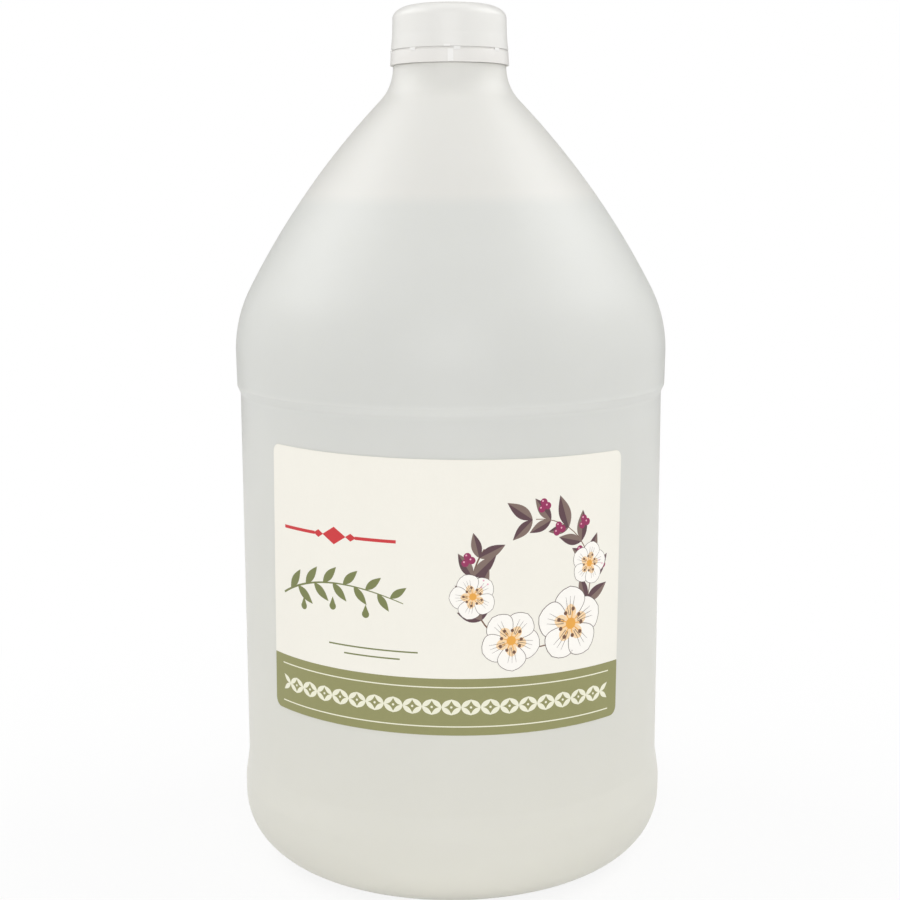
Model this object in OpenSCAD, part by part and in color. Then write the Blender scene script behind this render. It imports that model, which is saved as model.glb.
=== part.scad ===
// One-gallon round jug with a moulded grip, a tamper-evident screw cap and a front label.
// Origin at the centre of the base, +Z up, label towards -Y, grip towards +Y.

/* [Jug body] */
// Diameter over the base ring and the shoulder ring
body_d = 155; // [145:0.5:170]
// Wall thickness of the blown shell
wall = 1; // [0.7:0.1:1.6]
// Radius of the rounded heel
heel_r = 21.3; // [14:0.1:24]
// Straight height of the base ring above the heel
base_ring_h = 6; // [2:0.1:10]
// Height of the taper from the base ring to the label panel
base_taper_h = 9; // [6:0.1:16]
// Depth of the label panel under the two rings
panel_inset = 1.35; // [0.8:0.05:2.5]
// Straight height of the label panel
panel_h = 134.2; // [115:0.1:150]
// Height of the step from the label panel to the shoulder ring
step_h = 2.7; // [2:0.1:6]
// Height of the shoulder ring
shoulder_ring_h = 11.9; // [6:0.1:16]
// Draft of the shoulder ring, on the radius
ring_draft = 0.2; // [0:0.1:0.8]
// Width of the flat ring that the jug stands on
stand_w = 8; // [5:0.5:12]
// Height of the push-up in the base
push_h = 5; // [2:0.5:9]
// Run of the push-up's sloping side
push_run = 10; // [6:0.5:16]

/* [Shoulder and neck] */
// Radius of the arc where the shoulder leaves the ring
shoulder_r = 48.3; // [42:0.1:58]
// Lean of the shoulder, from the vertical, where that arc ends
lean_low = 27.5; // [24:0.1:30]
// Lean of the shoulder, from the vertical, under the neck
lean_high = 44; // [42:0.1:48]
// Radius of the hollow fillet under the neck
neck_fillet_r = 16.6; // [12:0.1:20]
// How far the collar under the tamper band stands out past the root of the thread
collar_out = 2.65; // [1.8:0.05:3]
// Height of that collar over the fillet
collar_h = 0.2; // [0.2:0.1:1.5]
// Wall of the neck, from the bore to the root of the thread
neck_wall = 2.2; // [1.4:0.1:3]
// Lean of the inner wall, from the vertical, where it turns in to the bore
bore_lean = 25; // [20:1:32]
// How far the bore runs down past the neck
bore_drop = 2; // [1:0.1:3]
// Chamfer on the rim of the mouth
mouth_chamfer = 0.4; // [0.2:0.1:0.8]

/* [Thread] */
// Outer diameter of the neck thread
thread_d = 37.2; // [34:0.1:42]
// Depth of the thread
thread_depth = 1.2; // [1:0.05:1.3]
// Pitch of the thread
thread_pitch = 4.233; // [4.1:0.001:4.4]
// Width of a thread ridge at its root
thread_root_w = 2.2; // [1.8:0.05:2.4]
// Width of a thread ridge at its crest
thread_crest_w = 0.9; // [0.6:0.05:1.1]
// Turns of the thread on the neck
neck_thread_turns = 1.25; // [1:0.05:1.4]
// Turns of the thread in the cap
cap_thread_turns = 1.35; // [1:0.05:1.5]
// Radial clearance between the two threads
thread_gap = 0.35; // [0.25:0.05:0.5]
// Plain height over the neck thread
thread_rim = 0.4; // [0.2:0.1:0.8]
// Angle over which a thread ridge fades in and out
thread_fade = 40; // [20:5:60]
// Angle before the neck thread at which the cap thread starts
thread_lead = 90; // [60:10:120]

/* [Cap and tamper band] */
// Wall of the cap's skirt over its foot
cap_wall = 1.3; // [1:0.05:2]
// Height of the cap's skirt, from the slit to the liner
skirt_h = 12.5; // [12.4:0.1:16]
// Draft of the skirt, on the radius
cap_draft = 0.15; // [0:0.05:0.3]
// Thickness of the cap's top
cap_top_t = 2.3; // [2:0.1:3]
// Width of the rounding on the cap's upper edge
cap_edge_w = 8; // [3:0.5:9]
// Height of the rounding on the cap's upper edge
cap_edge_h = 4.5; // [2:0.1:4.8]
// How far the skirt's foot flares out
cap_foot_out = 0.5; // [0:0.05:0.8]
// Height of the flare on the skirt's foot
cap_foot_h = 5; // [2:0.5:8]
// Height of the sloping corner inside the cap
cap_corner_h = 2.2; // [1.5:0.1:3]
// Thickness of the sealing liner
liner_t = 1; // [0.6:0.1:1.6]
// How far the liner reaches past the rim of the mouth
liner_lap = 0.3; // [0.1:0.05:0.5]
// Gap between the liner's edge and the cap
liner_gap = 0.2; // [0.1:0.05:0.3]
// Height of the slit between the cap and the band
slit_h = 0.3; // [0.3:0.1:0.9]
// Height of the tamper band
band_h = 4.6; // [4.5:0.1:5.6]
// Flare of the band's lower edge, on the radius
band_flare = 0.3; // [0:0.05:0.6]
// Gap between the band and the collar under it
band_gap = 0.3; // [0.3:0.1:0.8]
// How far the bead on the neck stands out
bead_out = 1.6; // [1.3:0.05:1.7]
// Height of the bead on the neck
bead_h = 1.4; // [1:0.1:1.8]
// Height of the bead's upright edge
bead_edge_h = 0.5; // [0.2:0.1:0.8]
// Radial clearance between the bead and the band
bead_gap = 0.35; // [0.3:0.05:0.45]
// Height of the hook inside the band
hook_h = 1.2; // [0.8:0.1:1.5]
// Depth of the hook inside the band
hook_in = 0.9; // [0.7:0.05:1.2]
// Height of the hook above the band's lower edge
hook_lift = 0.5; // [0:0.1:0.8]
// Number of break bridges between the band and the cap
bridge_count = 8; // [4:1:16]
// Width of a break bridge
bridge_w = 1.6; // [0.8:0.1:2.5]
// Thickness of a break bridge
bridge_t = 0.8; // [0.5:0.1:1]
// How far a break bridge lies inside the foot's face
bridge_inset = 0.1; // [0:0.05:0.2]
// Turn of the first break bridge from the front, towards +X
bridge_turn = 7; // [0:1:44]

/* [Grip] */
// Width of the grip
grip_w = 24; // [20:0.5:28]
// Thickness of the grip
grip_t = 18; // [15:0.5:21]
// Radius of the grip's rounded edges
grip_edge_r = 7.5; // [5:0.5:8.5]
// Radius of the bow that the middle of the grip follows
grip_bow_r = 62; // [56:0.5:68]
// How far the grip stays inside the jug's largest radius
grip_inset = 2; // [0.5:0.5:6]
// Least flat between the grip's rounded edges
grip_flat = 1; // [0.5:0.1:3]
// Height of the bow's centre above the shoulder ring
grip_rise = 11.7; // [8:0.1:16]
// Angle on the bow where the grip runs into the shoulder, from level
grip_low_a = -25; // [-30:1:-20]
// Angle on the bow where the grip runs into the neck, from level
grip_high_a = 85; // [80:1:90]
// Depth of the finger room between the grip and the jug
finger_room = 35.5; // [30:0.5:40]
// Radius of the saddle under the finger room
saddle_r = 36; // [28:0.5:40]
// Height of the saddle's floor above the shoulder ring
saddle_rise = 3; // [1:0.1:8]
// Outward fall of the saddle's floor
saddle_fall = 8; // [4:0.5:14]
// Radius of the hollow over the finger room
ceiling_r = 16; // [12:0.5:20]
// How far that hollow's top lies under the top of the bow
ceiling_drop = 3; // [0:0.5:6]

/* [Oil] */
// Height from the oil's surface to the neck
ullage = 45.9; // [30:0.1:80]
// Clearance between the oil and the wall
oil_gap = 0.1; // [0.05:0.05:0.3]

/* [Label] */
// Width of the label along the panel
label_w = 133.5; // [100:0.5:150]
// Height of the label
label_h = 92.1; // [70:0.1:105]
// Thickness of the label
label_t = 0.15; // [0.1:0.05:0.3]
// Thickness of the adhesive under the label
glue_t = 0.05; // [0.03:0.01:0.1]
// Radius of the label's corners
label_corner_r = 3; // [1:0.5:6]
// Height of the label's centre above the middle of the panel
label_rise = 7.5; // [0:0.1:12]
// Turn of the label's centre from the front, towards +X
label_turn = -2.2; // [-5:0.1:5]
// Tilt of the label, its +X end up
label_tilt = -0.9; // [-3:0.1:3]

/* [Hidden] */
$fn = 96;

// How far a cut runs past the face that it opens
cut_past = 1;

body_r = body_d / 2;
panel_r = body_r - panel_inset;
thread_r = thread_d / 2;
root_r = thread_r - thread_depth;
neck_r = root_r + collar_out;
bore_r = root_r - neck_wall;
stand_r = body_r - heel_r - stand_w;
push_slope = atan2(push_h, push_run);

// Heights of the body's rings
panel_z0 = heel_r + base_ring_h + base_taper_h;
panel_z1 = panel_z0 + panel_h;
shoulder_z = panel_z1 + step_h + shoulder_ring_h;

// The long arc of the shoulder, sized so that it reaches the neck's fillet
ogive_r = (body_r - neck_r - shoulder_r * (1 - cos(lean_low)) - neck_fillet_r * (1 - cos(lean_high)))
    / (cos(lean_low) - cos(lean_high));
shoulder_c = [body_r - shoulder_r, shoulder_z];
ogive_c = shoulder_c - (ogive_r - shoulder_r) * [cos(lean_low), sin(lean_low)];
fillet_c = ogive_c + (ogive_r + neck_fillet_r) * [cos(lean_high), sin(lean_high)];
neck_z = fillet_c[1];

// Heights of the neck finish, the band and the cap
collar_z = neck_z + collar_h;
band_z0 = collar_z + band_gap;
band_z1 = band_z0 + band_h;
cap_z0 = band_z1 + slit_h;
mouth_z = cap_z0 + skirt_h;
liner_z1 = mouth_z + liner_t;
cap_z1 = liner_z1 + cap_top_t;

// Radii of the bead, the band and the cap
bead_r = root_r + bead_out;
band_in_r = bead_r + bead_gap;
cap_in_r = thread_r + thread_gap;
cap_r = cap_in_r + cap_wall;
cap_foot_r = cap_r + cap_foot_out;
liner_r = root_r + liner_lap;

// The band's inner hook lies between the collar and the bead
hook_z0 = band_z0 + hook_lift;
hook_z1 = hook_z0 + hook_h;
bead_z0 = hook_z1 + band_gap;

// The two threads run side by side, half a pitch apart
thread_sink = 0.3;
thread_step = 10;
neck_thread_z1 = mouth_z - mouth_chamfer - thread_rim - thread_root_w / 2;
neck_thread_z0 = neck_thread_z1 - neck_thread_turns * thread_pitch;
cap_thread_z0 = neck_thread_z0 - thread_pitch * (1 / 2 + thread_lead / 360);

// The bow of the grip, as [y, z] of its centre, and the scoop behind it
grip_c = [body_r - grip_inset - grip_t / 2 - grip_bow_r, shoulder_z + grip_rise];
scoop_y = grip_c[0] + grip_bow_r - grip_t / 2 - finger_room;
saddle_c = [scoop_y + saddle_r, shoulder_z + saddle_rise + saddle_r];
ceiling_c = [scoop_y + ceiling_r, grip_c[1] + grip_bow_r - ceiling_drop - ceiling_r];
scoop_reach = body_r + cut_past;
grip_edge = min(grip_edge_r, (grip_t - grip_flat) / 2, (grip_w - grip_flat) / 2);

oil_z = neck_z - ullage;
label_r = panel_r + glue_t;
label_z = panel_z0 + panel_h / 2 + label_rise;

// Points of an arc in a plane, from angle a0 to a1 in n steps, without the first few
function arc(c, r, a0, a1, n, skip = 0) =
    [for (i = [skip:n]) let (a = a0 + (a1 - a0) * i / n) c + r * [cos(a), sin(a)]];

// Half outline from the middle of the base up to the fillet under the neck, inset by t
function shell_outline(t, last_lean) = concat(
    [[0, push_h + t]],
    [for (p = [[stand_r - push_run, push_h], [stand_r, 0]]) p + t * [tan(push_slope / 2), 1]],
    arc([body_r - heel_r, heel_r], heel_r - t, -90, 0, 12),
    [
        [body_r - t, heel_r + base_ring_h],
        [panel_r - t, panel_z0],
        [panel_r - t, panel_z1],
        [body_r - ring_draft - t, panel_z1 + step_h]
    ],
    arc(shoulder_c, shoulder_r - t, 0, lean_low, 7),
    arc(ogive_c, ogive_r - t, lean_low, lean_high, 9, skip = 1),
    arc(fillet_c, neck_fillet_r + t, 180 + lean_high, 180 + last_lean, 8, skip = 1)
);

// Half outline of the solid jug with its neck finish
function jug_outline() = concat(
    shell_outline(0, 0),
    [
        [neck_r, collar_z],
        [root_r, collar_z],
        [root_r, bead_z0],
        [bead_r, bead_z0],
        [bead_r, bead_z0 + bead_edge_h],
        [root_r, bead_z0 + bead_h],
        [root_r, mouth_z - mouth_chamfer],
        [root_r - mouth_chamfer, mouth_z],
        [0, mouth_z]
    ]
);

// Half outline of the space in the jug, with the bore of its neck
function cavity_outline(t) = concat(
    shell_outline(t, bore_lean),
    [
        [bore_r, neck_z - bore_drop],
        [bore_r, mouth_z + cut_past],
        [0, mouth_z + cut_past]
    ]
);

// A plane drawn in [y, z] and pushed out along X
module along_x(w) {
    rotate([90, 0, 90]) translate([0, 0, -w / 2]) linear_extrude(w) children();
}

// The scoop behind the grip, larger by t
module scoop(t) {
    along_x(2 * scoop_reach) polygon(concat(
        [[scoop_reach, saddle_c[1] - (saddle_r + t) / cos(saddle_fall)
            - (scoop_reach - saddle_c[0]) * tan(saddle_fall)]],
        [[scoop_reach, ceiling_c[1] + ceiling_r + t]],
        arc(ceiling_c, ceiling_r + t, 90, 180, 8),
        arc(saddle_c, saddle_r + t, 180, 270 - saddle_fall, 8)
    ));
}

// Section of the grip, inset by t: radial thickness by width
function grip_section(t) =
    let (a = grip_t / 2 - grip_edge, b = grip_w / 2 - grip_edge, r = grip_edge - t)
    concat(
        arc([a, b], r, 0, 90, 4),
        arc([-a, b], r, 90, 180, 4),
        arc([-a, -b], r, 180, 270, 4),
        arc([a, -b], r, 270, 360, 4)
    );

// The bowed grip, inset by t
module grip_bow(t) {
    translate([0, grip_c[0], grip_c[1]]) rotate([90, 0, 90]) rotate([0, 0, grip_low_a])
        rotate_extrude(angle = grip_high_a - grip_low_a)
            translate([grip_bow_r, 0]) polygon(grip_section(t));
}

// Space in the jug and in its grip, inset by t from the outside
module jug_space(t) {
    difference() {
        rotate_extrude() polygon(cavity_outline(t));
        scoop(t);
    }
    grip_bow(t);
}

// Share of the full thread depth at an angle, fading in and out at the ends
function fade(a, a_end) = max(0.02, min(1, a / thread_fade, (a_end - a) / thread_fade));

// A thread ridge on a round wall: side 1 stands out of it, side -1 stands into it
module thread_ridge(wall_r, z0, turns, side) {
    a_end = 360 * turns;
    steps = ceil(a_end / thread_step);
    rings = [for (i = [0:steps])
        let (a = a_end * i / steps, z = z0 + thread_pitch * a / 360,
            crest_r = wall_r + side * thread_depth * fade(a, a_end), sunk_r = wall_r - side * thread_sink)
        [for (p = [[sunk_r, -thread_root_w], [crest_r, -thread_crest_w],
                [crest_r, thread_crest_w], [sunk_r, thread_root_w]])
            [p[0] * cos(a), p[0] * sin(a), z + p[1] / 2]]];
    quads = [for (i = [0:steps - 1], k = [0:3])
        let (m = (k + 1) % 4, q = [4 * i + k, 4 * i + m, 4 * i + 4 + m, 4 * i + 4 + k])
        side > 0 ? [q[3], q[2], q[1], q[0]] : q];
    ends = [[0, 1, 2, 3], [for (k = [3:-1:0]) 4 * steps + k]];
    end_faces = [for (e = ends) side > 0 ? [for (k = [3:-1:0]) e[k]] : e];
    polyhedron(
        [for (ring = rings) each ring],
        concat(
            [for (q = quads) each [[q[0], q[1], q[2]], [q[0], q[2], q[3]]]],
            [for (e = end_faces) each [[e[0], e[1], e[2]], [e[0], e[2], e[3]]]]
        )
    );
}

// Blown shell with its neck finish and hollow grip
module jug_body() {
    color([0.86, 0.86, 0.83]) difference() {
        union() {
            difference() {
                rotate_extrude() polygon(jug_outline());
                scoop(0);
            }
            grip_bow(0);
            thread_ridge(root_r, neck_thread_z0, neck_thread_turns, 1);
        }
        jug_space(wall);
    }
}

// Oil up to the fill line, also in the lower part of the grip
module oil_fill() {
    color([0.85, 0.84, 0.74]) difference() {
        jug_space(wall + oil_gap);
        translate([-body_r, -body_r, oil_z]) cube([body_d, body_d, mouth_z]);
    }
}

// Screw cap with its inner thread
module cap_shell() {
    color([0.93, 0.92, 0.9]) union() {
        rotate_extrude() polygon(concat(
            [[cap_in_r, cap_z0], [cap_foot_r, cap_z0], [cap_r, cap_z0 + cap_foot_h]],
            [for (p = arc([0, 0], 1, 0, 90, 8))
                [cap_r - cap_draft - cap_edge_w * (1 - p[0]), cap_z1 - cap_edge_h * (1 - p[1])]],
            [
                [0, cap_z1],
                [0, liner_z1],
                [liner_r + liner_gap, liner_z1],
                [cap_in_r, liner_z1 - cap_corner_h]
            ]
        ));
        rotate([0, 0, -thread_lead])
            thread_ridge(cap_in_r, cap_thread_z0, cap_thread_turns, -1);
    }
}

// Sealing disc under the cap's top
module cap_liner() {
    color([0.96, 0.96, 0.94]) translate([0, 0, mouth_z]) cylinder(h = liner_t, r = liner_r);
}

// Ring that stays on the neck, with its inner hook and the break bridges on its upper edge
module tamper_band() {
    bridge_a = bridge_w / cap_foot_r * 180 / PI;
    bridge_r = cap_foot_r - bridge_inset - bridge_t;
    color([0.95, 0.94, 0.92]) union() {
        rotate_extrude() polygon([
            [band_in_r, band_z0],
            [cap_foot_r + band_flare, band_z0],
            [cap_foot_r, band_z1],
            [band_in_r, band_z1],
            [band_in_r, hook_z1 + hook_in / 2],
            [band_in_r - hook_in, hook_z1],
            [band_in_r - hook_in, hook_z0],
            [band_in_r, hook_z0]
        ]);
        for (i = [0:bridge_count - 1])
            rotate([0, 0, -90 + bridge_turn + i * 360 / bridge_count - bridge_a / 2])
                rotate_extrude(angle = bridge_a)
                    translate([bridge_r, band_z1 - slit_h]) square([bridge_t, 2 * slit_h]);
    }
}

// Outline of the label on the flat, with rounded corners and points along its long edges
function label_outline() =
    let (a = label_w / 2 - label_corner_r, b = label_h / 2 - label_corner_r, r = label_corner_r, n = 12)
    concat(
        arc([a, b], r, 0, 90, 4),
        [for (i = [1:n - 1]) [a - 2 * a * i / n, label_h / 2]],
        arc([-a, b], r, 90, 180, 4),
        arc([-a, -b], r, 180, 270, 4),
        [for (i = [1:n - 1]) [2 * a * i / n - a, -label_h / 2]],
        arc([a, -b], r, 270, 360, 4)
    );

// Paper label wrapped on the front of the panel
module front_label() {
    outer_r = label_r + label_t;
    wrapped = [for (p = label_outline())
        let (s = p[0] * cos(label_tilt) - p[1] * sin(label_tilt),
            h = p[0] * sin(label_tilt) + p[1] * cos(label_tilt))
        [outer_r * sin(s / outer_r * 180 / PI), label_z + h]];
    color([0.95, 0.94, 0.87]) rotate([0, 0, label_turn]) intersection() {
        rotate_extrude() translate([label_r, label_z - label_h]) square([label_t, 2 * label_h]);
        rotate([90, 0, 0]) linear_extrude(body_r) polygon(wrapped);
    }
}

jug_body();
oil_fill();
cap_shell();
cap_liner();
tamper_band();
front_label();
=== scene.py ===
import bpy
import bmesh
import math
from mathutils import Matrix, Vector


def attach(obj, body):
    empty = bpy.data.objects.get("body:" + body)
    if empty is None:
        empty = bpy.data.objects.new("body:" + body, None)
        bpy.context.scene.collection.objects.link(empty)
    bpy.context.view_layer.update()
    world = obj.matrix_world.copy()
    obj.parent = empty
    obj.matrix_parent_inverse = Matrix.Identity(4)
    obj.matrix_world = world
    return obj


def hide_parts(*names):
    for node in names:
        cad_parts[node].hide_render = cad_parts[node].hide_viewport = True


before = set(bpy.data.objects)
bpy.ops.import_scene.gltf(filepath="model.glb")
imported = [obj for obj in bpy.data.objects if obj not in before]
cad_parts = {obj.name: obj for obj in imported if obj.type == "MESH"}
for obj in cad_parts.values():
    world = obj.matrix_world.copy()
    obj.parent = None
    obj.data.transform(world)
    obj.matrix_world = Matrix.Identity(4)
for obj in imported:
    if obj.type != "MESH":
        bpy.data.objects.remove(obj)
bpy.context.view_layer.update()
print("frame loaded:", sorted(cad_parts))

mm = 0.001
weld = 0.002 * mm


def pickNone():
    bpy.ops.object.select_all(action="DESELECT")


def onlySelect(*objs):
    pickNone()
    for obj in objs:
        obj.select_set(True)
    bpy.context.view_layer.objects.active = objs[0]


def editOn(obj, kind="VERT"):
    onlySelect(obj)
    bpy.ops.object.mode_set(mode="EDIT")
    bpy.ops.mesh.select_mode(type=kind)


def editOff():
    bpy.ops.object.mode_set(mode="OBJECT")


def pickAll():
    bpy.ops.mesh.select_all(action="SELECT")


def faceOut():
    pickAll()
    bpy.ops.mesh.normals_make_consistent(inside=False)


# the drawn path becomes a face
def fillPath():
    pickAll()
    bpy.ops.mesh.edge_face_add()


def pull(x=0, y=0, z=0):
    bpy.ops.mesh.extrude_region_move(TRANSFORM_OT_translate={"value": (x, y, z)})


# with no window, rotate turns the other way
def turnBy(angle, axis="Z", centre=(0, 0, 0)):
    bpy.ops.transform.rotate(value=-angle, orient_axis=axis, center_override=centre)


# cuts the whole mesh by a plane across one axis
def cutAt(axis, place, **values):
    across = Vector([1 if k == axis else 0 for k in "xyz"])
    pickAll()
    bpy.ops.mesh.bisect(plane_co=across * place, plane_no=across, **values)


# open edges whose ends both pass the test
def pickOpenEdges(obj, test):
    bpy.ops.mesh.select_mode(type="EDGE")
    bpy.ops.mesh.select_all(action="DESELECT")
    mesh = bmesh.from_edit_mesh(obj.data)
    for edge in mesh.edges:
        if edge.is_boundary and all(test(vert.co) for vert in edge.verts):
            edge.select = True
    bmesh.update_edit_mesh(obj.data)


def finishWith(obj, kind, **values):
    mod = obj.modifiers.new(kind.title(), kind)
    for key, value in values.items():
        setattr(mod, key, value)
    onlySelect(obj)
    bpy.ops.object.modifier_apply(modifier=mod.name)


def joinInto(obj, *others):
    onlySelect(obj, *others)
    bpy.ops.object.join()


def dress(piece, material):
    piece.data.materials.clear()
    piece.data.materials.append(material)


def softShade(obj, degrees):
    onlySelect(obj)
    bpy.ops.object.shade_smooth_by_angle(angle=math.radians(degrees))


def addPlane(name, size, place=(0, 0, 0), **values):
    pickNone()
    bpy.ops.mesh.primitive_plane_add(size=size, location=place, **values)
    bpy.context.object.name = name
    return bpy.context.object


# one vertex is drawn on from point to point
def drawPath(name, points):
    obj = addPlane(name, mm)
    editOn(obj)
    pickAll()
    bpy.ops.mesh.merge(type="CENTER")
    bpy.ops.transform.translate(value=points[0])
    for last, point in zip(points, points[1:]):
        pull(*(Vector(point) - Vector(last)))
    return obj


# a half outline of (radius, height) in mm, spun round the Z axis
def turnOutline(name, outline, steps):
    obj = drawPath(name, [(r * mm, 0, z * mm) for r, z in outline])
    pickAll()
    bpy.ops.mesh.spin(steps=steps, angle=2 * math.pi, center=(0, 0, 0), axis=(0, 0, 1))
    pickAll()
    bpy.ops.mesh.remove_doubles(threshold=weld)
    faceOut()
    editOff()
    return obj


# corners are (radius, height, rounding); a rounding of 0 stays sharp
def roundCorners(corners, steps=5):
    out = []
    for i, (r, z, rounding) in enumerate(corners):
        here = Vector((r, z))
        if rounding == 0 or i in (0, len(corners) - 1):
            out.append((r, z))
            continue
        back = (Vector(corners[i - 1][:2]) - here).normalized()
        on = (Vector(corners[i + 1][:2]) - here).normalized()
        half = back.angle(on) / 2
        reach = rounding / math.tan(half)
        middle = here + (back + on).normalized() * (rounding / math.sin(half))
        start, end = here + back * reach - middle, here + on * reach - middle
        sweep = start.angle_signed(end)
        for k in range(steps + 1):
            turn = -sweep * k / steps
            out.append((
                middle.x + start.x * math.cos(turn) - start.y * math.sin(turn),
                middle.y + start.x * math.sin(turn) + start.y * math.cos(turn),
            ))
    return out


def withRoundings(places, roundings):
    return [(r, z, rounding) for (r, z), rounding in zip(places, roundings)]


def arcPoints(centre, radius, first, last, steps):
    turns = [math.radians(first + (last - first) * k / steps) for k in range(steps + 1)]
    return [(centre[0] + radius * math.cos(a), centre[1] + radius * math.sin(a)) for a in turns]


# jug, sizes in mm
jug = {
    "radius": 77.5, "wall": 1.0, "heel": 21.3, "panelRadius": 76.15,
    "baseRingTop": 27.3, "panelLow": 36.3, "panelHigh": 170.5, "stepTop": 173.2, "ringDraft": 0.2,
    "shoulderLow": 185.1, "shoulderArc": 48.3, "leanLow": 27.5, "leanHigh": 44.0,
    "neckFillet": 16.6, "neckRadius": 20.05, "neckCut": 284.5, "neckOver": 4.0, "discRadius": 12.0,
    "standRadius": 48.2, "standRound": 5.0, "pushHeight": 5.0, "pushRun": 10.0, "pushRound": 14.0,
    "ringRound": 14.0, "creaseRound": 2.4, "stepRound": 1.5,
    "skinLow": 164.0, "seamLow": 175.0, "seamHigh": 176.6, "seamReach": 1.0,
    "steps": 160, "arcSteps": 12, "longSteps": 30, "heelSteps": 18, "standSteps": 7, "ringSteps": 6,
    "voxel": 1.6, "smooth": 50,
}
cosLow, cosHigh = (math.cos(math.radians(jug[key])) for key in ("leanLow", "leanHigh"))
sinLow, sinHigh = (math.sin(math.radians(jug[key])) for key in ("leanLow", "leanHigh"))
jug["longArc"] = (
    jug["radius"] - jug["neckRadius"]
    - jug["shoulderArc"] * (1 - cosLow) - jug["neckFillet"] * (1 - cosHigh)
) / (cosLow - cosHigh)
shoulderMiddle = (jug["radius"] - jug["shoulderArc"], jug["shoulderLow"])
longMiddle = (
    shoulderMiddle[0] - (jug["longArc"] - jug["shoulderArc"]) * cosLow,
    shoulderMiddle[1] - (jug["longArc"] - jug["shoulderArc"]) * sinLow,
)
filletMiddle = (
    longMiddle[0] + (jug["longArc"] + jug["neckFillet"]) * cosHigh,
    longMiddle[1] + (jug["longArc"] + jug["neckFillet"]) * sinHigh,
)
neckLow = filletMiddle[1]


# radius of the turned wall above the label panel
def wallRadius(z):
    if z <= jug["shoulderLow"]:
        share = (z - jug["stepTop"]) / (jug["shoulderLow"] - jug["stepTop"])
        return jug["radius"] - jug["ringDraft"] * (1 - max(0, min(1, share)))
    if z <= shoulderMiddle[1] + jug["shoulderArc"] * sinLow:
        return shoulderMiddle[0] + math.sqrt(jug["shoulderArc"] ** 2 - (z - shoulderMiddle[1]) ** 2)
    if z <= longMiddle[1] + jug["longArc"] * sinHigh:
        return longMiddle[0] + math.sqrt(jug["longArc"] ** 2 - (z - longMiddle[1]) ** 2)
    if z <= neckLow:
        inside = max(0, jug["neckFillet"] ** 2 - (z - filletMiddle[1]) ** 2)
        return filletMiddle[0] - math.sqrt(inside)
    return jug["neckRadius"]


# grip behind the jug, sizes in mm, places as (y, z)
grip = {
    "width": 24.0, "thick": 18.0, "edge": 7.5, "edgeSteps": 7,
    "bow": 62.0, "bowSteps": 44, "middle": (4.5, 196.8), "low": -25.0, "high": 85.0,
    "scoopBack": 22.0, "saddle": (58.0, 224.1), "saddleArc": 36.0, "saddleFall": 8.0,
    "saddleSteps": 20, "ceiling": (38.0, 239.8), "ceilingArc": 16.0, "ceilingSteps": 14,
    "reach": 84.0, "half": 90.0, "softFrom": 5.0, "softTo": 9.0, "softShare": 0.5, "softTurns": 18,
}


# distance of a place from the scoop's outline, below zero inside it
def scoopGap(y, z):
    sy, sz = grip["saddle"]
    cy, cz = grip["ceiling"]
    fall = math.radians(grip["saddleFall"])
    if z >= cz:
        return (math.hypot(y - cy, z - cz) if y < cy else z - cz) - grip["ceilingArc"]
    if z >= sz:
        return grip["scoopBack"] - y
    along = (y - sy) * math.cos(fall) - (z - sz) * math.sin(fall)
    if along > 0:
        return -(y - sy) * math.sin(fall) - (z - sz) * math.cos(fall) - grip["saddleArc"]
    return math.hypot(y - sy, z - sz) - grip["saddleArc"]


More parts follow.
